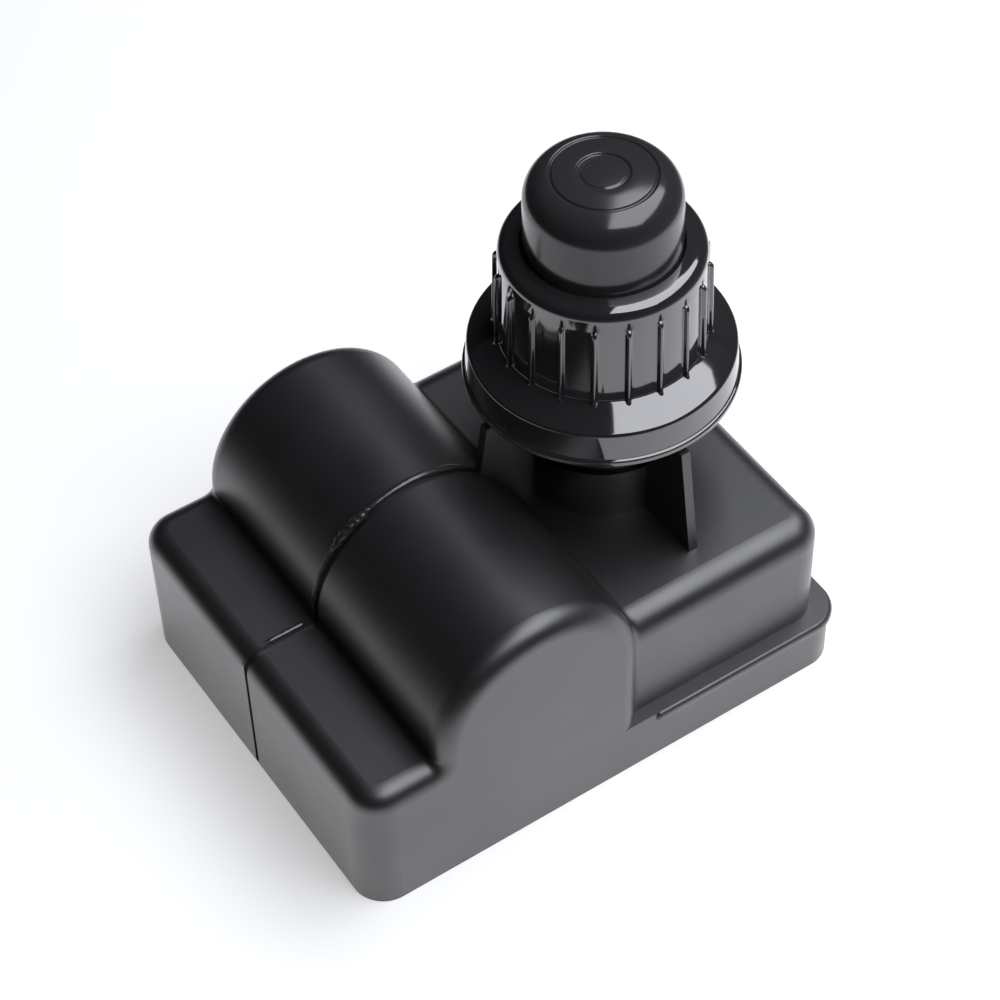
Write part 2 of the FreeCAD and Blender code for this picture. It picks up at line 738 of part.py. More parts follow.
def ring_nut():
    """Flange with a beaded lip, ribbed collar, and an inner lip at the top that keeps the button in."""
    z = nut_z
    foot_z = z + nut_rim + nut_slope
    rim = arc_points(nut_rim_r - nut_rim_round, z + nut_rim - nut_rim_round, nut_rim_round, 90, 0)
    foot = arc_points(collar_foot_r + foot_round, foot_z + foot_round, foot_round, 180, 270)
    outer_z = collar_z - collar_round * math.cos(math.radians(collar_tilt))
    over = arc_points(collar_r - collar_round, outer_z, collar_round, 90, collar_tilt)
    lip = arc_points(mouth_r + mouth_round, collar_z - mouth_round, mouth_round, 0, -90)
    start = V(nut_bore_r, 0, z)
    side = [start, V(nut_lip_r - nut_edge, 0, z), V(nut_lip_r, 0, z + nut_edge),
            V(nut_lip_r, 0, z + nut_lip - nut_edge), V(nut_side_r, 0, z + nut_lip), rim[0]]
    edges = [Part.makeLine(side[i], side[i + 1]) for i in range(len(side) - 1)]
    edges += [Part.Arc(*rim).toShape(), Part.makeLine(rim[2], foot[0]), Part.Arc(*foot).toShape(),
              Part.makeLine(foot[2], over[0]), Part.Arc(*over).toShape(),
              Part.makeLine(over[2], lip[0]), Part.Arc(*lip).toShape()]
    rest = [lip[2], V(mouth_r, 0, mouth_z), V(nut_bore_r, 0, mouth_z), start]
    edges += [Part.makeLine(rest[i], rest[i + 1]) for i in range(len(rest) - 1)]
    body = Part.Face(Part.Wire(edges)).revolve(V(0, 0, 0), V(0, 0, 1), 360)
    body = body.translated(V(neck_x, 0, 0))
    pitch = 360.0 / rib_count
    body = body.fuse([rib_tool(rib_phase + pitch * i) for i in range(rib_count)])
    under = rod(under_r1, neck_x, 0, z - 1, z + under_depth)
    under = under.cut(rod(under_r0, neck_x, 0, z - 2, z + under_depth + 1))
    bore = rod(nut_bore_r, neck_x, 0, z - 1, mouth_z)
    return body.cut([under, bore]).removeSplitter()


def retaining_ring():
    top = plate_z - fit_gap
    ring = rod(nut_bore_r - retainer_fit, neck_x, 0, top - retainer_t, top)
    return ring.cut(rod(retainer_r, neck_x, 0, top - retainer_t - 1, top + 1))


def contact_plate():
    """A dished plate that rests on the cell's cap and carries the spring."""
    low = cell_top + fit_gap / 2
    out = button_flange_r
    cup = plate_cup_r
    slope = (plate_z - low) / 2
    return revolve([(0, low), (cup, low), (cup + slope, plate_z), (out, plate_z),
                    (out, plate_z + plate_t), (cup + slope - plate_t / 2, plate_z + plate_t),
                    (cup - plate_t / 2, low + plate_t), (0, low + plate_t)], neck_x, 0)


def button_spring():
    foot = plate_z + plate_t + spring_wire_r
    height = hollow_top - spring_wire_r - foot
    helix = Part.makeHelix(height / spring_turns, height, spring_r)
    ring = Part.Wire(Part.makeCircle(spring_wire_r, V(spring_r, 0, 0), V(0, 1, 0)))
    coil = Part.Wire(helix.Edges).makePipeShell([ring], True, True)
    return coil.translated(V(neck_x, 0, foot))


def ring_groove(outer, width, depth, crown, far):
    """Outline of a shallow ring groove from its outer edge to its inner one."""
    inner = outer - width
    return [V(outer - groove_side, 0, crown - depth), V(inner + groove_side, 0, crown - depth),
            V(inner, 0, far)]


def push_button():
    """Domed cap: a straight side, a round shoulder, an outer groove, a raised band, a shallow dish."""
    crown = button_top - crown_rise
    centre_r = button_r - button_round
    lean = math.degrees(math.asin((groove_r - centre_r) / button_round))
    centre_z = crown - button_round * math.cos(math.radians(lean))
    shoulder = arc_points(centre_r, centre_z, button_round, 90, lean)
    p = [V(0, 0, hollow_top), V(button_r - button_wall, 0, hollow_top),
         V(button_r - button_wall, 0, flange_bottom), V(button_flange_r, 0, flange_bottom),
         V(button_flange_r, 0, flange_top), V(button_r + button_flare, 0, flange_top), shoulder[0]]
    edges = [Part.makeLine(p[i], p[i + 1]) for i in range(len(p) - 1)]
    edges.append(Part.Arc(*shoulder).toShape())
    ring = [shoulder[2]] + ring_groove(groove_r, groove_width, groove_depth, crown, crown)
    edges += [Part.makeLine(ring[i], ring[i + 1]) for i in range(len(ring) - 1)]
    band_mid = V((ring[-1].x + dish_r) / 2, 0, button_top)
    band_end = V(dish_r, 0, crown)
    edges.append(Part.Arc(ring[-1], band_mid, band_end).toShape())
    dish = [band_end] + ring_groove(dish_r, dish_width, dish_depth, crown, crown - dish_depth / 2)
    dish += [V(0, 0, crown - dish_depth / 2), p[0]]
    edges += [Part.makeLine(dish[i], dish[i + 1]) for i in range(len(dish) - 1)]
    solid = Part.Face(Part.Wire(edges)).revolve(V(0, 0, 0), V(0, 0, 1), 360)
    return solid.translated(V(neck_x, 0, 0))


def save(name, shape):
    shape.exportStep("parts/" + name + ".step")
    print(name, "solids", len(shape.Solids), "valid", shape.isValid(), "volume", round(shape.Volume, 2))


def main():
    os.makedirs("parts", exist_ok=True)
    whole = housing()
    save("front_shell", front_shell(whole))
    save("rear_shell", rear_shell(whole))
    save("base_cover", base_cover())
    save("base_screws", base_screws())
    save("terminal_block", terminal_block())
    for i, y in enumerate(outlet_places()):
        save("outlet_tab_" + str(i + 1), outlet_tab(y))
    save("hv_core", hv_core())
    save("hv_primary", hv_primary())
    save("hv_bobbin", hv_bobbin())
    save("hv_secondary", hv_secondary())
    save("hv_leads", hv_leads())
    save("circuit_board", circuit_board())
    save("oscillator_core", oscillator_core())
    save("oscillator_winding", oscillator_winding())
    save("storage_capacitor", storage_capacitor())
    save("thyristor", flat_can(thyristor_at))
    save("transistor", flat_can(transistor_at))
    save("rectifier_diodes", axial_pair(diode_at, diode_r, diode_length))
    save("resistors", axial_pair(resistor_at, resistor_r, resistor_length))
    save("switch_strip", switch_strip())
    save("negative_contact", negative_contact())
    save("battery_cell", battery_cell())
    save("ring_nut", ring_nut())
    save("retaining_ring", retaining_ring())
    save("contact_plate", contact_plate())
    save("button_spring", button_spring())
    save("push_button", push_button())


main()
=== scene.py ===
import json
import math

import bpy
from mathutils import Matrix, Vector


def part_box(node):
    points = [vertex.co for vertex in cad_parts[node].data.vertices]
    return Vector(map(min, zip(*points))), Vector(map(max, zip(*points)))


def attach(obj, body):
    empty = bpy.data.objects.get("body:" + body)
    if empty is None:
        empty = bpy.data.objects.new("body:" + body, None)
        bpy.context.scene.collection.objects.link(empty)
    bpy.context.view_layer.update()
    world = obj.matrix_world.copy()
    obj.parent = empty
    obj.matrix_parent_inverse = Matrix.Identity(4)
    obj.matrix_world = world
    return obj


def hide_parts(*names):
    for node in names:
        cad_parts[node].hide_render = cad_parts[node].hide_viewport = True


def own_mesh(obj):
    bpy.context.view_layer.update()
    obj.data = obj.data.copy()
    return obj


mm = 0.001  # the frame is in metres, the values below are in millimetres

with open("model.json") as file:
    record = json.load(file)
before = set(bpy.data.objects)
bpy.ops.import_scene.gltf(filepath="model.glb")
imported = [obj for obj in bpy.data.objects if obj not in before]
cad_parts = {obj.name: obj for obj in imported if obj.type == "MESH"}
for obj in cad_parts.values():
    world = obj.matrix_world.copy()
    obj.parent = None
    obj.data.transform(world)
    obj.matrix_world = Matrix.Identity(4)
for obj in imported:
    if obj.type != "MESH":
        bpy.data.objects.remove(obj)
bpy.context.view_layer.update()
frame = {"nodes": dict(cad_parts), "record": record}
nodes = frame["nodes"]
print("frame loaded,", len(nodes), "nodes")


# small helpers
def linear(hexCode):
    # an sRGB hex value as a linear colour
    parts = [int(hexCode[i:i + 2], 16) / 255 for i in (1, 3, 5)]
    return [p / 12.92 if p <= 0.04045 else ((p + 0.055) / 1.055) ** 2.4 for p in parts] + [1.0]


def addNode(tree, kind, settings=None, inputs=None):
    # one node with its settings, and its inputs as values or as links
    node = tree.nodes.new(kind)
    for key, value in (settings or {}).items():
        setattr(node, key, value)
    for key, value in (inputs or {}).items():
        if isinstance(value, bpy.types.NodeSocket):
            tree.links.new(value, node.inputs[key])
        else:
            node.inputs[key].default_value = value
    return node


def newMaterial(name, **values):
    # a Principled shader with constant values, which the finishes below add to
    material = bpy.data.materials.new(name)
    material.use_nodes = True
    shader = material.node_tree.nodes["Principled BSDF"]
    for key, value in values.items():
        shader.inputs[key].default_value = value
    return material, material.node_tree, shader


def objectPoint(tree):
    return addNode(tree, "ShaderNodeTexCoord").outputs["Object"]


def noise(tree, point, size, detail=3.0, roughness=0.55):
    # noise whose grains are about `size` millimetres across
    return addNode(tree, "ShaderNodeTexNoise", inputs={
        "Vector": point, "Scale": 1 / (size * mm), "Detail": detail, "Roughness": roughness}).outputs["Fac"]


def spread(tree, value, low, high, fromLow=0.3, fromHigh=0.7):
    return addNode(tree, "ShaderNodeMapRange", inputs={
        "Value": value, "From Min": fromLow, "From Max": fromHigh, "To Min": low, "To Max": high}).outputs["Result"]


def bump(tree, shader, height, distance, strength=1.0):
    node = addNode(tree, "ShaderNodeBump", inputs={
        "Height": height, "Distance": distance * mm, "Strength": strength})
    tree.links.new(node.outputs["Normal"], shader.inputs["Normal"])


def meshObject(name, points, faces, material, body):
    mesh = bpy.data.meshes.new(name)
    mesh.from_pydata([tuple(c * mm for c in p) for p in points], [], faces)
    mesh.polygons.foreach_set("use_smooth", [True] * len(mesh.polygons))
    mesh.materials.append(material)
    mesh.update()
    made = bpy.data.objects.new(name, mesh)
    bpy.context.scene.collection.objects.link(made)
    if body:
        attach(made, body)
    return made


def roundedOutline(corners, arcSteps):
    # corners are (radius, height, rounding); each rounding becomes an arc of arcSteps pieces
    points = []
    for i, (r, z, rounding) in enumerate(corners):
        here = Vector((r, z))
        if rounding == 0:
            points.append(here)
            continue
        before = (Vector(corners[i - 1][:2]) - here).normalized()
        after = (Vector(corners[(i + 1) % len(corners)][:2]) - here).normalized()
        half = before.angle(after) / 2
        centre = here + (before + after).normalized() * (rounding / math.sin(half))
        start = here + before * (rounding / math.tan(half)) - centre
        end = here + after * (rounding / math.tan(half)) - centre
        sweep = start.angle_signed(end)
        for step in range(arcSteps + 1):
            turn = -sweep * step / arcSteps
            c, s = math.cos(turn), math.sin(turn)
            points.append(centre + Vector((start.x * c - start.y * s, start.x * s + start.y * c)))
    return points


def arc(r, z, radius, start, end, steps):
    # an arc about (r, z); its angles lean outward from straight up, in degrees
    angles = [math.radians(start + (end - start) * k / steps) for k in range(steps + 1)]
    return [(r + radius * math.sin(a), z + radius * math.cos(a), 0) for a in angles]


def lathe(name, outline, axisX, steps, material, body):
    # turns a closed outline of (radius, height) round an upright axis; points on the axis become poles
    points, rings = [], []
    for r, z in outline:
        if r < 1e-6:
            rings.append([len(points)] * steps)
            points.append((axisX, 0, z))
            continue
        first = len(points)
        rings.append([first + k for k in range(steps)])
        for k in range(steps):
            a = 2 * math.pi * k / steps
            points.append((axisX + r * math.cos(a), r * math.sin(a), z))
    faces = []
    for i, ring in enumerate(rings):
        upper = rings[(i + 1) % len(rings)]
        for k in range(steps):
            n = (k + 1) % steps
            corners = [ring[k], ring[n], upper[n], upper[k]]
            face = [c for j, c in enumerate(corners) if c not in corners[:j]]
            if len(face) > 2:
                faces.append(face)
    return meshObject(name, points, faces, material, body)


def keepMesh(made, body):
    # the modifier's result as a plain mesh
    depsgraph = bpy.context.evaluated_depsgraph_get()
    mesh = bpy.data.meshes.new_from_object(made.evaluated_get(depsgraph))
    made.modifiers.clear()
    made.data = mesh
    mesh.name = made.name
    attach(made, body)
    return made


def runTree(name, tree, body, **values):
    # a new object that the node tree fills, with its inputs set by their identifiers
    made = bpy.data.objects.new(name, bpy.data.meshes.new(name))
    bpy.context.scene.collection.objects.link(made)
    modifier = made.modifiers.new(tree.name, "NODES")
    modifier.node_group = tree
    for item in tree.interface.items_tree:
        if item.item_type == "SOCKET" and item.in_out == "INPUT" and item.name in values:
            modifier[item.identifier] = values[item.name]
    return keepMesh(made, body)


def newTree(name, **sockets):
    # an empty node tree with named inputs and one mesh output
    tree = bpy.data.node_groups.new(name, "GeometryNodeTree")
    for label, kind in sockets.items():
        tree.interface.new_socket(label, in_out="INPUT", socket_type="NodeSocket" + kind)
    tree.interface.new_socket("Geometry", in_out="OUTPUT", socket_type="NodeSocketGeometry")
    return tree, addNode(tree, "NodeGroupInput").outputs


def closeTree(tree, geometry, material):
    real = addNode(tree, "GeometryNodeRealizeInstances", inputs={"Geometry": geometry})
    painted = addNode(tree, "GeometryNodeSetMaterial", inputs={"Geometry": real.outputs[0], "Material": material})
    addNode(tree, "NodeGroupOutput", inputs={"Geometry": painted.outputs[0]})


# finishes
def satinAbs():
    # moulded black ABS off a fine-blasted tool: a soft, slightly cloudy sheen with no sharp reflections
    material, tree, shader = newMaterial("satin moulded ABS", **{
        "Base Color": linear("#171718"), "Roughness": 0.42, "IOR": 1.58, "Coat Weight": 1.0,
        "Coat Roughness": 0.4, "Coat IOR": 1.56})
    point = objectPoint(tree)
    tree.links.new(spread(tree, noise(tree, point, 9.0), 0.38, 0.47), shader.inputs["Roughness"])
    bump(tree, shader, noise(tree, point, 0.35, 2.0), 0.012, 0.35)
    return material


def glossAbs(name, hexCode, roughness, ior, coat):
    # ABS from a polished tool: near-mirror reflections, barely waved by the flow of the plastic
    material, tree, shader = newMaterial(name, **{
        "Base Color": linear(hexCode), "Roughness": roughness, "IOR": ior, "Coat Weight": coat,
        "Coat Roughness": roughness, "Coat IOR": 1.7})
    point = objectPoint(tree)
    bump(tree, shader, noise(tree, point, 6.0, 1.0), 0.02, 0.25)
    return material


def plainMetal(name, hexCode, roughness):
    # drawn or stamped strip: metallic, with a faint grain
    material, tree, shader = newMaterial(name, **{
        "Base Color": linear(hexCode), "Roughness": roughness, "Metallic": 1.0})
    bump(tree, shader, noise(tree, objectPoint(tree), 0.6), 0.004, 0.3)
    return material


def plainSolid(name, hexCode, roughness):
    # dull moulded, pressed or lacquered pieces inside the housing
    material, tree, shader = newMaterial(name, **{"Base Color": linear(hexCode), "Roughness": roughness})
    bump(tree, shader, noise(tree, objectPoint(tree), 0.8), 0.01, 0.3)
    return material


satin = satinAbs()
gloss = glossAbs("polished moulded ABS", "#2a2a2b", 0.06, 1.6, 1.0)
buttonGloss = glossAbs("hazy polished ABS of the button", "#303031", 0.15, 1.62, 0.0)   # handled, so less of a mirror
flash = glossAbs("burnished flash along the seam", "#2a2a2b", 0.27, 1.7, 0.0)           # squeezed out and rubbed
finishes = {
    "housing": satin,
    "gloss_cap": gloss,
    "screw_steel": plainMetal("zinc plated steel", "#b9bcc0", 0.3),
    "tab_tin": plainMetal("tinned brass", "#c9c8c0", 0.28),
    "contact_brass": plainMetal("bright brass strip", "#d2ac61", 0.27),
    "spring_steel": plainMetal("drawn spring steel", "#a9abad", 0.3),
    "copper": plainMetal("enamelled copper winding", "#a4572c", 0.35),
    "wire": plainSolid("insulated hook-up wire", "#8f1f1a", 0.4),
    "ferrite": plainSolid("pressed ferrite", "#2c2d2f", 0.6),
    "bobbin": plainSolid("natural nylon", "#ded9c6", 0.45),
    "board": plainSolid("solder masked laminate", "#1d5a31", 0.35),
    "capacitor": plainSolid("dipped film capacitor", "#9c3a1d", 0.35),
    "black_case": plainSolid("moulded component case", "#1f1f21", 0.5),
    "resistor_body": plainSolid("lacquered resistor", "#c2a377", 0.4),
    "cell_jacket": plainSolid("shrink jacket of the cell", "#3f4347", 0.3),
}
for part in frame["record"]["subparts"]:
    mesh = nodes[part["node"]].data
    mesh.materials.clear()
    mesh.materials.append(finishes[part["material_slot"]])
print("finishes set")


# ring nut: one slice of its outline with one grip rib, repeated round the axis
low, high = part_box("ring_nut")
nut = {
    "axisX": (low.x + high.x) / 2 / mm,
    "foot": low.z / mm, "top": high.z / mm,
    "ribs": 20,
    "phase": -3.4,          # degrees
    "lipR": 17.94, "lip": 0.96,         # thin lip at the foot of the flange's side
    "sideR": 17.55, "rimR": 17.3, "rim": 5.15, "rimRound": 0.7,
    "slope": 2.1,                       # rise of the flange's top from its rim to the collar
    "footR": 13.4, "footRound": 0.3,
    "collarR": 13.1, "topRound": 1.7, "topTilt": 8.0,
    "mouthR": 10.15, "mouthRound": 0.3, "mouth": 2.95,
    "boreR": 11.2,
    "hollowIn": 13.0, "hollowOut": 16.1, "hollow": 3.2,   # groove under the flange
    "ribTop": 19.0, "ribEnd": 0.8, "ribProud": 0.6,
    "ribToe": 0.4,                      # how far a rib's foot runs out on the flange
    "crestR": 0.3, "crestTurn": 80.0,   # the rib's crest arc, and how far it turns each way
    "ribFillet": 0.2,
    "sidePieces": 3,                    # pieces of plain wall on each side of a rib
}


def nutOutline(n):
    z, top = n["foot"], n["top"]
    overR = n["collarR"] - n["topRound"]
    overZ = top - n["topRound"] * math.cos(math.radians(n["topTilt"]))
    corners = [
        (n["boreR"], z, 0.25), (n["hollowIn"], z, 0.3), (n["hollowIn"], z + n["hollow"], 0.3),
        (n["hollowOut"], z + n["hollow"], 0.3), (n["hollowOut"], z, 0.2),
        (n["lipR"], z, 0.3), (n["lipR"], z + n["lip"], 0.35), (n["sideR"], z + n["lip"] + 0.15, 0.12),
        (n["rimR"], z + n["rim"], n["rimRound"]),
        (n["footR"], z + n["rim"] + n["slope"], n["footRound"]),
        *arc(overR, overZ, n["topRound"], 90, 70, 8), *arc(overR, overZ, n["topRound"], 64, n["topTilt"], 9),
        *arc(n["mouthR"] + n["mouthRound"], top - n["mouthRound"], n["mouthRound"], 0, -90, 7),
        (n["mouthR"], top - n["mouth"], 0.15), (n["boreR"], top - n["mouth"], 0.15)]
    return roundedOutline(corners, 7)


def wallSteps(points, n):
    # adds heights along the collar wall, close together where the ribs round off
    out = []
    for i, p in enumerate(points):
        out.append(p)
        q = points[(i + 1) % len(points)]
        if q.y - p.y > 6:
            ribTop = n["foot"] + n["ribTop"]
            heights = [p.y + k * 1.5 for k in range(1, 7)]
            heights += [ribTop - n["ribEnd"] * (1 - math.sin(k * math.pi / 20)) for k in range(0, 11)]
            for h in sorted(h for h in heights if p.y + 0.3 < h < q.y - 0.04):
                out.append(p.lerp(q, (h - p.y) / (q.y - p.y)))
        elif 1.5 < p.x - q.x < 5 and 0 < q.y - p.y < 3 and p.y > n["foot"] + n["rim"] - 0.1:
            out += [p.lerp(q, k) for k in (0.5, 0.75, 0.88)]
    return out


def ribSection(n):
    # half of the rib's cross-section: a round crest, a straight flank and a hollow fillet down to the wall
    turn = math.radians(n["crestTurn"])
    both = n["crestR"] + n["ribFillet"]
    flank = (n["ribProud"] - both * (1 - math.cos(turn))) / math.tan(turn)
    half = []
    for k in range(7):
        a = turn * k / 6
        half.append((n["crestR"] * math.sin(a), n["ribProud"] - n["crestR"] * (1 - math.cos(a))))
    for k in range(5):
        a = turn * (1 - k / 4)
        half.append((both * math.sin(turn) + flank - n["ribFillet"] * math.sin(a), n["ribFillet"] * (1 - math.cos(a))))
    return half


def ribRise(n, r, z):
    # how much of the rib stands at a point of the outline, from 0 to 1
    if r < n["collarR"] - 0.3 or z < n["foot"] + n["rim"]:
        return 0.0
    if r > n["footR"] + n["footRound"]:
        return max(0.0, 1 - (r - n["footR"] - n["footRound"]) / n["ribToe"])
    over = (z - n["foot"] - n["ribTop"]) / n["ribEnd"] + 1
    return 1.0 if over <= 0 else math.sqrt(max(0.0, 1 - over * over))


def nutSlice(n, material):
    section = ribSection(n)
    outline = wallSteps(nutOutline(n), n)
    sliceHalf = math.pi / n["ribs"]
    wallR = (n["footR"] + n["collarR"]) / 2
    across = [(-s, h) for s, h in reversed(section[1:])] + section
    plain = n["sidePieces"]
    columns = len(across) + 2 * plain
    points = []
    for r, z in outline:
        rise = ribRise(n, r, z)
        squeeze = 0.4 + 0.6 * math.sqrt(rise) if z > n["foot"] + n["rim"] + 3 else 1.0
        edge = section[-1][0] * squeeze / wallR
        row = [(s * squeeze / wallR, h * rise) for s, h in across]
        side = [(edge + (sliceHalf - edge) * k / plain, 0.0) for k in range(1, plain + 1)]
        row = [(-a, h) for a, h in reversed(side)] + row + side
        for a, h in row:
            lift = -h * n["slope"] / (n["rimR"] - n["footR"]) if r > n["footR"] + 0.1 and rise else 0.0
            points.append(((r + h) * math.cos(a), (r + h) * math.sin(a), z + lift))
    faces = []
    rows = len(outline)
    for i in range(rows):
        for k in range(columns - 1):
            a, b = i * columns + k, ((i + 1) % rows) * columns + k
            faces.append((a, a + 1, b + 1, b))
    return meshObject("nutSlice", points, faces, material, None)


def ringTree():
    tree, given = newTree("slicesInARing", Slice="Object", Count="Int", Phase="Float", AxisX="Float",
                          Weld="Float", Material="Material")
    piece = addNode(tree, "GeometryNodeObjectInfo", inputs={"Object": given["Slice"]})
    spots = addNode(tree, "GeometryNodePoints", inputs={"Count": given["Count"]})
    index = addNode(tree, "GeometryNodeInputIndex")
    share = addNode(tree, "ShaderNodeMath", {"operation": "DIVIDE"}, {0: index.outputs[0], 1: given["Count"]})
    turn = addNode(tree, "ShaderNodeMath", {"operation": "MULTIPLY_ADD"},
                   {0: share.outputs[0], 1: 2 * math.pi, 2: given["Phase"]})
    spin = addNode(tree, "ShaderNodeCombineXYZ", inputs={"Z": turn.outputs[0]})
    ring = addNode(tree, "GeometryNodeInstanceOnPoints", inputs={
        "Points": spots.outputs[0], "Instance": piece.outputs["Geometry"], "Rotation": spin.outputs[0]})
    place = addNode(tree, "ShaderNodeCombineXYZ", inputs={"X": given["AxisX"]})
    moved = addNode(tree, "GeometryNodeTranslateInstances", inputs={
        "Instances": ring.outputs[0], "Translation": place.outputs[0], "Local Space": False})
    real = addNode(tree, "GeometryNodeRealizeInstances", inputs={"Geometry": moved.outputs[0]})
    joined = addNode(tree, "GeometryNodeMergeByDistance", inputs={
        "Geometry": real.outputs[0], "Distance": given["Weld"]})
    closeTree(tree, joined.outputs[0], given["Material"])
    return tree


oneSlice = nutSlice(nut, gloss)
ringNut = runTree("ringNut", ringTree(), "cap_nut", Slice=oneSlice, Count=nut["ribs"],
                  Phase=math.radians(nut["phase"]), AxisX=nut["axisX"] * mm, Weld=0.001 * mm, Material=gloss)
bpy.data.objects.remove(oneSlice)
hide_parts("ring_nut")
print("ring nut,", len(ringNut.data.polygons), "faces")


# push button
low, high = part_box("push_button")
button = {
    "axisX": (low.x + high.x) / 2 / mm,
    "foot": low.z / mm,
    "top": high.z / mm,
    "flangeR": (high.x - low.x) / 2 / mm, "flange": 1.5,
    "sideR": 9.9, "wall": 1.8, "flare": 0.1, "round": 4.1,
    "crownRise": 0.24,                     # from the edge of the outer groove up to the ring in the middle
    "grooveR": 6.8, "grooveWidth": 0.55, "grooveDepth": 0.26,
    "dishR": 3.45, "dishWidth": 0.8, "dishDepth": 0.25,
    "steps": 160,
}


def buttonOutline(b):
    top, foot = b["top"], b["foot"]
    ceiling = top - 0.3 - b["wall"]
    innerR = b["sideR"] - b["wall"]
    crown = top - b["crownRise"]
    centreR = b["sideR"] - b["round"]
    lean = math.degrees(math.asin((b["grooveR"] - centreR) / b["round"]))
    centreZ = crown - b["round"] * math.cos(math.radians(lean))
    grooveIn, dishIn = b["grooveR"] - b["grooveWidth"], b["dishR"] - b["dishWidth"]
    grooveFloor, dishFloor = crown - b["grooveDepth"], top - b["dishDepth"]
    band = [(grooveIn + (b["dishR"] - grooveIn) * k / 10, crown + b["crownRise"] * math.sin(math.pi * k / 20), 0)
            for k in range(1, 10)]
    return roundedOutline([
        (0, ceiling, 0), (innerR, ceiling, 0.8), (innerR, foot, 0.2), (b["flangeR"], foot, 0.25),
        (b["flangeR"], foot + b["flange"], 0.25), (b["sideR"] + b["flare"], foot + b["flange"], 0.2),
        *arc(centreR, centreZ, b["round"], 90, lean + 3, 30),
        (b["grooveR"], crown, 0.22), (b["grooveR"] - 0.17, grooveFloor, 0.13), (grooveIn + 0.17, grooveFloor, 0.13),
        (grooveIn, crown, 0.15), *band, (b["dishR"], top, 0.15), (b["dishR"] - 0.2, dishFloor, 0.14),
        (dishIn + 0.2, dishFloor, 0.14), (dishIn, top - 0.08, 0.14), (0, top - 0.04, 0)], 5)


pushButton = lathe("pushButton", [tuple(p) for p in buttonOutline(button)], button["axisX"], button["steps"],
                   buttonGloss, "button")
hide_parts("push_button")
print("push button,", len(pushButton.data.polygons), "faces")


# threads: a right-handed ridge swept along a helix, fine enough that the solids leave it out
thread = {
    "axisX": nut["axisX"],
    "pitch": 2.0,
    "rootR": 10.3, "crestR": 11.0,
    "start": 34.4, "end": 53.2,
    "ridge": 1.5, "crest": 0.5,       # width of the ridge at its root and at its crest
    "sink": 0.15,                     # how far its root is buried in the neck
    "fade": 0.03,                     # share of the length over which each end runs out
}


def threadTree():
    tree, given = newTree("threadRidge", Turns="Float", Radius="Float", Height="Float", Start="Float", AxisX="Float",
                          Depth="Float", Root="Float", Crest="Float", Fade="Float", Side="Float",
                          Material="Material")
    spiral = addNode(tree, "GeometryNodeCurveSpiral", inputs={
        "Resolution": 48, "Rotations": given["Turns"], "Start Radius": given["Radius"], "End Radius": given["Radius"],
        "Height": given["Height"], "Reverse": True})       # reversed, it is right-handed
    along = addNode(tree, "GeometryNodeSplineParameter").outputs["Factor"]
    back = addNode(tree, "ShaderNodeMath", {"operation": "SUBTRACT"}, {0: 1.0, 1: along}).outputs[0]
    nearest = addNode(tree, "ShaderNodeMath", {"operation": "MINIMUM"}, {0: along, 1: back}).outputs[0]
    fade = addNode(tree, "ShaderNodeMath", {"operation": "DIVIDE", "use_clamp": True},
                   {0: nearest, 1: given["Fade"]}).outputs[0]
    level = addNode(tree, "GeometryNodeSetCurveNormal", {"mode": "Z_UP"}, {"Curve": spiral.outputs[0]})
    profile = addNode(tree, "GeometryNodeCurvePrimitiveQuadrilateral", {"mode": "TRAPEZOID"}, {
        "Bottom Width": given["Root"], "Top Width": given["Crest"], "Height": given["Depth"], "Offset": 0.0})
    lift = addNode(tree, "ShaderNodeMath", {"operation": "MULTIPLY"}, {0: given["Depth"], 1: 0.5}).outputs[0]
    offset = addNode(tree, "ShaderNodeCombineXYZ", inputs={"Y": lift})
    standing = addNode(tree, "GeometryNodeTransform", inputs={
        "Geometry": profile.outputs[0], "Translation": offset.outputs[0]})
    facing = addNode(tree, "ShaderNodeMath", {"operation": "MULTIPLY"}, {0: given["Side"], 1: -math.pi / 2})
    lean = addNode(tree, "ShaderNodeCombineXYZ", inputs={"Z": facing.outputs[0]})
    turned = addNode(tree, "GeometryNodeTransform", inputs={
        "Geometry": standing.outputs[0], "Rotation": lean.outputs[0]})
    ridge = addNode(tree, "GeometryNodeCurveToMesh", inputs={
        "Curve": level.outputs[0], "Profile Curve": turned.outputs[0], "Scale": fade, "Fill Caps": True})
    place = addNode(tree, "ShaderNodeCombineXYZ", inputs={"X": given["AxisX"], "Z": given["Start"]})
    moved = addNode(tree, "GeometryNodeTransform", inputs={
        "Geometry": ridge.outputs[0], "Translation": place.outputs[0]})
    closeTree(tree, moved.outputs[0], given["Material"])
    return tree


nutThread = {
    "start": thread["start"] + 11.0,      # half a pitch off the neck's ridge, so that the two mesh
    "end": thread["start"] + 20.0,
    "rootR": 11.2, "crestR": 10.5,
    "ridge": 1.1, "crest": 0.4,           # its ridge points inwards
}


def makeThread(name, tree, body, part, side, material):
    length = part["end"] - part["start"]
    made = runTree(name, tree, body, Turns=length / thread["pitch"], Height=length * mm,
                   Radius=(part["rootR"] - side * thread["sink"]) * mm,
                   Start=part["start"] * mm, AxisX=thread["axisX"] * mm,
                   Depth=(abs(part["crestR"] - part["rootR"]) + thread["sink"]) * mm, Root=part["ridge"] * mm,
                   Crest=part["crest"] * mm, Fade=thread["fade"], Side=float(side), Material=material)
    print(name + ",", len(made.data.polygons), "faces")
    return made


ridgeTree = threadTree()
makeThread("neckThread", ridgeTree, "housing", thread, 1, satin)
makeThread("nutThread", ridgeTree, "cap_nut", nutThread, -1, gloss)


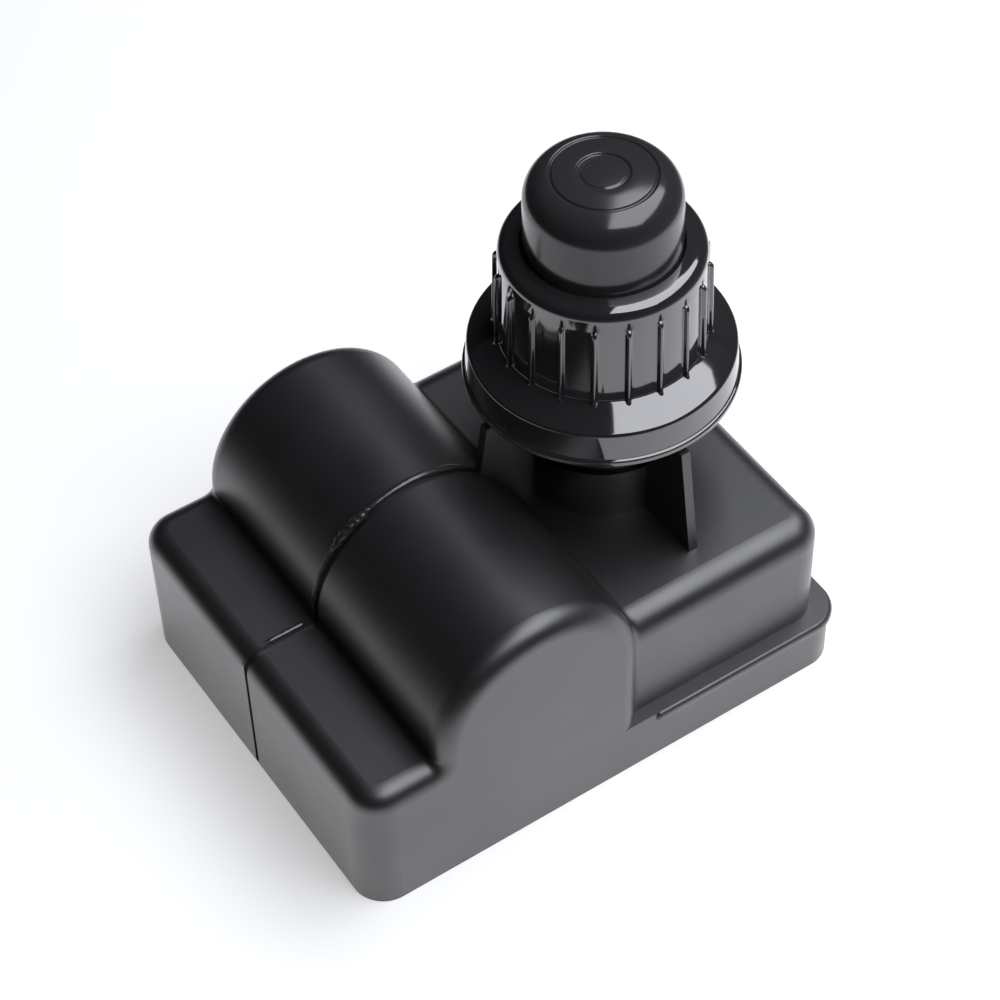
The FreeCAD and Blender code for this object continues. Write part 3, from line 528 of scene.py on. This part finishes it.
# return spring: the real one shortens as the button goes down; this one is a fixed coil
low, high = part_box("button_spring")
spring = {
    "axisX": nut["axisX"],
    "foot": low.z / mm, "top": high.z / mm,
    "radius": 6.0, "wireR": 0.45, "turns": 4.0,
    "travel": 3.0,                    # of the button
    "wireSteps": 16,
}


def coilTree():
    tree, given = newTree("wireCoil", Turns="Float", Radius="Float", WireR="Float", Start="Float", Height="Float",
                          AxisX="Float", Material="Material")
    spiral = addNode(tree, "GeometryNodeCurveSpiral", inputs={
        "Resolution": 48, "Rotations": given["Turns"], "Start Radius": given["Radius"], "End Radius": given["Radius"],
        "Height": given["Height"], "Reverse": True})       # reversed, it is right-handed
    section = addNode(tree, "GeometryNodeCurvePrimitiveCircle", inputs={
        "Resolution": spring["wireSteps"], "Radius": given["WireR"]})
    wire = addNode(tree, "GeometryNodeCurveToMesh", inputs={
        "Curve": spiral.outputs[0], "Profile Curve": section.outputs[0], "Fill Caps": True})
    place = addNode(tree, "ShaderNodeCombineXYZ", inputs={"X": given["AxisX"], "Z": given["Start"]})
    moved = addNode(tree, "GeometryNodeTransform", inputs={
        "Geometry": wire.outputs[0], "Translation": place.outputs[0]})
    closeTree(tree, moved.outputs[0], given["Material"])
    return tree


springLength = spring["top"] - spring["foot"]
returnSpring = runTree("returnSpring", coilTree(), "cap_insert", Turns=spring["turns"], Radius=spring["radius"] * mm,
                       WireR=spring["wireR"] * mm, Start=(spring["foot"] + spring["wireR"]) * mm,
                       Height=(springLength - 2 * spring["wireR"]) * mm, AxisX=spring["axisX"] * mm,
                       Material=finishes["spring_steel"])
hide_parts("button_spring")
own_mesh(returnSpring)
print("return spring,", len(returnSpring.data.polygons), "faces")


# seam between the two shells: the rear one's rounded lip, with a rough blob of flash left of the hump's crown
seam = {
    "y": 0.75,
    "humpX": -11.3, "humpZ": 22.8, "humpR": 15.65,
    # angle round the hump from its crown in degrees, half thickness of the lip, share of the roughness
    "overHump": [(-84, 0.03, 0), (-76, 0.2, 0), (-50, 0.25, 0.1), (-45, 0.5, 0.8), (-40, 0.66, 1), (-33, 0.62, 1),
                 (-27, 0.62, 0.8), (-23, 0.52, 0.25), (-16, 0.52, 0.1), (8, 0.5, 0.05), (22, 0.42, 0), (33, 0.03, 0)],
    "stepZ": 21.95,
    # x along the top of the step, then the same two values
    "alongStep": [(-35.0, 0.03, 0), (-33.2, 0.4, 0.1), (-28.6, 0.42, 0.1), (-27.4, 0.03, 0)],
    "grain": 0.8, "crumb": 0.9,       # size of the flash's crumbs, and the height from their pits to their tops
    "spacing": 0.15, "seed": 4.0,
    "sectionSteps": 14, "pathPieces": 8,
    "level": 0.45,                    # noise above this stands out, below it sinks in
}


def seamPaths(v):
    # the lip's two middle lines, with their thickness and roughness as attributes of the points
    points, edges, thick, rough = [], [], [], []
    for places, onHump in ((v["overHump"], True), (v["alongStep"], False)):
        for i, (place, size, share) in enumerate(places):
            last = places[i - 1] if i else (place, size, share)
            parts = v["pathPieces"] if i else 1
            for k in range(1, parts + 1):
                here, width, part = (a + (b - a) * k / parts for a, b in zip(last, (place, size, share)))
                a = math.radians(here)
                points.append((v["humpX"] + v["humpR"] * math.sin(a), v["y"], v["humpZ"] + v["humpR"] * math.cos(a))
                              if onHump else (here, v["y"], v["stepZ"]))
                if i:
                    edges.append((len(points) - 2, len(points) - 1))
                thick.append(width * mm)
                rough.append(part)
    mesh = bpy.data.meshes.new("seamPaths")
    mesh.from_pydata([tuple(c * mm for c in p) for p in points], edges, [])
    for name, values in (("thick", thick), ("rough", rough)):
        mesh.attributes.new(name, "FLOAT", "POINT").data.foreach_set("value", values)
    made = bpy.data.objects.new("seamPaths", mesh)
    bpy.context.scene.collection.objects.link(made)
    return made


def seamTree():
    tree, given = newTree("seamLip", Paths="Object", Spacing="Float", Grain="Float", Crumb="Float", Seed="Float",
                          Material="Material")
    lines = addNode(tree, "GeometryNodeObjectInfo", inputs={"Object": given["Paths"]})
    curve = addNode(tree, "GeometryNodeMeshToCurve", inputs={"Mesh": lines.outputs["Geometry"]})
    even = addNode(tree, "GeometryNodeResampleCurve", {"mode": "LENGTH"}, {
        "Curve": curve.outputs[0], "Length": given["Spacing"]})
    thick = addNode(tree, "GeometryNodeInputNamedAttribute", {"data_type": "FLOAT"}, {"Name": "thick"})
    section = addNode(tree, "GeometryNodeCurvePrimitiveCircle", inputs={
        "Resolution": seam["sectionSteps"], "Radius": 1.0})
    lip = addNode(tree, "GeometryNodeCurveToMesh", inputs={
        "Curve": even.outputs[0], "Profile Curve": section.outputs[0], "Scale": thick.outputs["Attribute"],
        "Fill Caps": True})
    rough = addNode(tree, "GeometryNodeInputNamedAttribute", {"data_type": "FLOAT"}, {"Name": "rough"})
    scale = addNode(tree, "ShaderNodeMath", {"operation": "DIVIDE"}, {0: 1.0, 1: given["Grain"]})
    grain = addNode(tree, "ShaderNodeTexNoise", {"noise_dimensions": "4D"}, {
        "Scale": scale.outputs[0], "W": given["Seed"], "Detail": 3.0})
    centred = addNode(tree, "ShaderNodeMath", {"operation": "SUBTRACT"}, {
        0: grain.outputs["Fac"], 1: seam["level"]})
    height = addNode(tree, "ShaderNodeMath", {"operation": "MULTIPLY"}, {0: centred.outputs[0], 1: given["Crumb"]})
    height = addNode(tree, "ShaderNodeMath", {"operation": "MULTIPLY"}, {
        0: height.outputs[0], 1: rough.outputs["Attribute"]})
    normal = addNode(tree, "GeometryNodeInputNormal")
    push = addNode(tree, "ShaderNodeVectorMath", {"operation": "SCALE"}, {
        0: normal.outputs[0], "Scale": height.outputs[0]})
    lumpy = addNode(tree, "GeometryNodeSetPosition", inputs={"Geometry": lip.outputs[0], "Offset": push.outputs[0]})
    closeTree(tree, lumpy.outputs[0], given["Material"])
    return tree


paths = seamPaths(seam)
seamLip = runTree("seamLip", seamTree(), "housing", Paths=paths, Spacing=seam["spacing"] * mm,
                  Grain=seam["grain"] * mm, Crumb=seam["crumb"] * mm, Seed=seam["seed"], Material=flash)
bpy.data.objects.remove(paths)
print("seam lip,", len(seamLip.data.polygons), "faces")


# base screws: one countersunk screw with a cross recess, set at four places
screw = {
    "headR": 2.4, "shankR": 1.1, "length": 9.0, "steps": 40,
    "slotHalf": 0.28, "slotReach": 1.35, "slotDepth": 0.8, "slotTaper": 0.7,
    "leftX": -32.85, "leftY": 23.9, "rightX": 30.45, "rightY": 22.0,
    "spin": 0.9,                      # radians from one screw's recess to the next one's
}


def screwPiece(v, material):
    cone = v["headR"] - v["shankR"]
    outline = roundedOutline([(0, v["length"], 0), (v["shankR"] / 4, v["length"], 0),
                              (v["shankR"], v["length"] - v["shankR"], 0.3), (v["shankR"], cone, 0.2),
                              (v["headR"], 0.02, 0.12), (0, 0.02, 0)], 3)
    piece = lathe("screwPiece", [tuple(p) for p in outline], 0, v["steps"], material, None)
    a, b, k = v["slotHalf"], v["slotReach"], v["slotTaper"]
    cross = [(a, a), (a, b), (-a, b), (-a, a), (-b, a), (-b, -a), (-a, -a), (-a, -b), (a, -b), (a, -a), (b, -a), (b, a)]
    points = [(x, y, -0.2) for x, y in cross] + [(x * k, y * k, v["slotDepth"]) for x, y in cross]
    faces = [tuple(reversed(range(12))), tuple(range(12, 24))]
    faces += [(i, (i + 1) % 12, 12 + (i + 1) % 12, 12 + i) for i in range(12)]
    cutter = meshObject("crossCutter", points, [tuple(reversed(f)) for f in faces], material, None)
    recess = piece.modifiers.new("recess", "BOOLEAN")
    recess.operation, recess.solver, recess.object = "DIFFERENCE", "EXACT", cutter
    depsgraph = bpy.context.evaluated_depsgraph_get()
    piece.data = bpy.data.meshes.new_from_object(piece.evaluated_get(depsgraph))
    piece.modifiers.clear()
    piece.data.polygons.foreach_set("use_smooth", [False] * len(piece.data.polygons))
    bpy.data.objects.remove(cutter)
    return piece


def piecesTree():
    tree, given = newTree("piecesAtPlaces", Piece="Object", Places="Object", Material="Material")
    piece = addNode(tree, "GeometryNodeObjectInfo", inputs={"Object": given["Piece"]})
    places = addNode(tree, "GeometryNodeObjectInfo", inputs={"Object": given["Places"]})
    index = addNode(tree, "GeometryNodeInputIndex")
    turn = addNode(tree, "ShaderNodeMath", {"operation": "MULTIPLY"}, {
        0: index.outputs[0], 1: screw["spin"]})
    spin = addNode(tree, "ShaderNodeCombineXYZ", inputs={"Z": turn.outputs[0]})
    placed = addNode(tree, "GeometryNodeInstanceOnPoints", inputs={
        "Points": places.outputs["Geometry"], "Instance": piece.outputs["Geometry"], "Rotation": spin.outputs[0]})
    closeTree(tree, placed.outputs[0], given["Material"])
    return tree


onePiece = screwPiece(screw, finishes["screw_steel"])
corners = [(screw[side + "X"], y * screw[side + "Y"], 0) for side in ("left", "right") for y in (-1, 1)]
fourPlaces = meshObject("fourPlaces", corners, [], finishes["screw_steel"], None)
baseScrews = runTree("baseScrews", piecesTree(), "housing", Piece=onePiece, Places=fourPlaces,
                     Material=finishes["screw_steel"])
for spare in (onePiece, fourPlaces):
    bpy.data.objects.remove(spare)
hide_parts("base_screws")
print("base screws,", len(baseScrews.data.polygons), "faces")


# floor, backdrop and light
camera = {
    "azimuth": -32.599, "elevation": 48.716, "roll": -1.723,   # degrees
    "aim": (5.28, 5.73, 19.40),
    "distance": 383.25,
    "lens": 103.02,
}
stageValues = {
    "floorR": 900.0, "bend": 250.0, "wallTop": 620.0,
    "floorColor": "#e4e4e4", "paintedDimFarColor": "#5c5c5e",
    "ahead": 50.0,                    # the white part's middle lies this far behind the object
    "whiteR": 128.0, "farR": 215.0,   # the floor is white round the object and grey further out, a painted dimming of the light away from the object
    "lift": 0.44,                     # white added for the camera and for reflections, so that the floor is white
    "worldColor": "#2a2b2e", "worldStrength": 1.0,
}
# a large softbox hangs level to the right of the camera's plane; sideways and ahead are seen from the camera
softbox = {"sideways": (46.0, 600.0), "ahead": (-450.0, 425.0), "height": 570.0, "radiance": 4.2, "color": "#f6f8ff"}


def floorMaterial(values):
    # matt paper sweep: white to the camera and in reflections near the object, painted grey further out as dimmed
    # light, and it keeps the soft shadow
    material = bpy.data.materials.new("white paper sweep")
    material.use_nodes = True
    tree = material.node_tree
    tree.nodes.clear()
    path = addNode(tree, "ShaderNodeLightPath")
    seen = addNode(tree, "ShaderNodeMath", {"operation": "MAXIMUM"},
                   {0: path.outputs["Is Camera Ray"], 1: path.outputs["Is Glossy Ray"]})
    seen = addNode(tree, "ShaderNodeMath", {"operation": "MAXIMUM"},
                   {0: seen.outputs[0], 1: path.outputs["Is Transmission Ray"]})
    turn = math.radians(camera["azimuth"])
    middle = (-math.sin(turn) * values["ahead"] * mm, math.cos(turn) * values["ahead"] * mm, 0)
    flat = addNode(tree, "ShaderNodeVectorMath", {"operation": "SUBTRACT"}, {0: objectPoint(tree), 1: middle})
    flat = addNode(tree, "ShaderNodeVectorMath", {"operation": "MULTIPLY"}, {0: flat.outputs[0], 1: (1, 1, 0)})
    reach = addNode(tree, "ShaderNodeVectorMath", {"operation": "LENGTH"}, {0: flat.outputs[0]})
    # painted dimming: the floor's colour and its glow fade from white near the object to grey further out
    near = addNode(tree, "ShaderNodeMapRange", {"interpolation_type": "SMOOTHSTEP"}, {
        "Value": reach.outputs["Value"], "From Min": values["farR"] * mm, "From Max": values["whiteR"] * mm})
    tone = addNode(tree, "ShaderNodeMix", {"data_type": "RGBA"}, {
        0: near.outputs["Result"], 6: linear(values["paintedDimFarColor"]), 7: linear(values["floorColor"])})
    glow = addNode(tree, "ShaderNodeMath", {"operation": "MULTIPLY"}, {0: seen.outputs[0], 1: values["lift"]})
    glow = addNode(tree, "ShaderNodeMath", {"operation": "MULTIPLY"}, {0: glow.outputs[0], 1: near.outputs["Result"]})
    paper = addNode(tree, "ShaderNodeBsdfDiffuse", inputs={"Color": tone.outputs[2]})
    light = addNode(tree, "ShaderNodeEmission", inputs={"Strength": glow.outputs[0]})
    both = addNode(tree, "ShaderNodeAddShader", inputs={0: paper.outputs[0], 1: light.outputs[0]})
    addNode(tree, "ShaderNodeOutputMaterial", inputs={"Surface": both.outputs[0]})
    return material


def sweep(values, material):
    # flat round floor that bends up into a low wall
    outline = [(0, 0), (values["floorR"], 0)]
    for k in range(1, 13):
        a = math.pi / 2 * k / 12
        outline.append((values["floorR"] + values["bend"] * math.sin(a), values["bend"] * (1 - math.cos(a))))
    outline.append((values["floorR"] + values["bend"], values["wallTop"]))
    points, faces, steps = [], [], 72
    for r, z in outline:
        for k in range(steps):
            a = 2 * math.pi * k / steps
            points.append((r * math.cos(a), r * math.sin(a), z))
    for i in range(len(outline) - 1):
        for k in range(steps):
            n = (k + 1) % steps
            faces.append((i * steps + k, i * steps + n, (i + 1) * steps + n, (i + 1) * steps + k))
    return meshObject("paperSweep", points, faces, material, None)


def hangSoftbox(values, overX):
    # its left edge runs parallel to the camera's view, so that gloss shows one straight edge
    (left, right), (near, far) = values["sideways"], values["ahead"]
    data = bpy.data.lights.new("softbox", "AREA")
    data.shape = "RECTANGLE"
    data.size, data.size_y = (right - left) * mm, (far - near) * mm
    data.energy = values["radiance"] * math.pi * data.size * data.size_y
    data.color = linear(values["color"])[:3]
    lamp = bpy.data.objects.new("softbox", data)
    turn = Matrix.Rotation(math.radians(camera["azimuth"]), 4, "Z")
    middle = turn @ Vector(((left + right) / 2, (near + far) / 2, values["height"])) + Vector((overX, 0, 0))
    lamp.matrix_world = Matrix.Translation(middle * mm) @ turn
    bpy.context.scene.collection.objects.link(lamp)
    return lamp


paper = sweep(stageValues, floorMaterial(stageValues))
hangSoftbox(softbox, nut["axisX"])
world = bpy.data.worlds.new("studio")
bpy.context.scene.world = world
world.use_nodes = True
sky = world.node_tree.nodes["Background"]
sky.inputs["Color"].default_value = linear(stageValues["worldColor"])
sky.inputs["Strength"].default_value = stageValues["worldStrength"]


# the photo's camera
azimuth, elevation = math.radians(camera["azimuth"]), math.radians(camera["elevation"])
back = Vector((math.sin(azimuth) * math.cos(elevation), -math.cos(azimuth) * math.cos(elevation), math.sin(elevation)))
side = (-back).cross(Vector((0, 0, 1))).normalized()
upward = side.cross(-back)
tilt = Matrix.Rotation(math.radians(camera["roll"]), 3, back)
side, upward = tilt @ side, tilt @ upward
cameraData = bpy.data.cameras.new("camera")
cameraData.lens = camera["lens"]
cameraData.sensor_width = 36.0
cameraData.clip_start, cameraData.clip_end = 0.01, 10.0
cameraObject = bpy.data.objects.new("camera", cameraData)
cameraObject.matrix_world = Matrix.Translation((Vector(camera["aim"]) + back * camera["distance"]) * mm) @ Matrix(
    (side, upward, back)).transposed().to_4x4()
bpy.context.scene.collection.objects.link(cameraObject)
bpy.context.scene.camera = cameraObject
bpy.context.scene.view_settings.view_transform = "Standard"
print("stage and camera set")
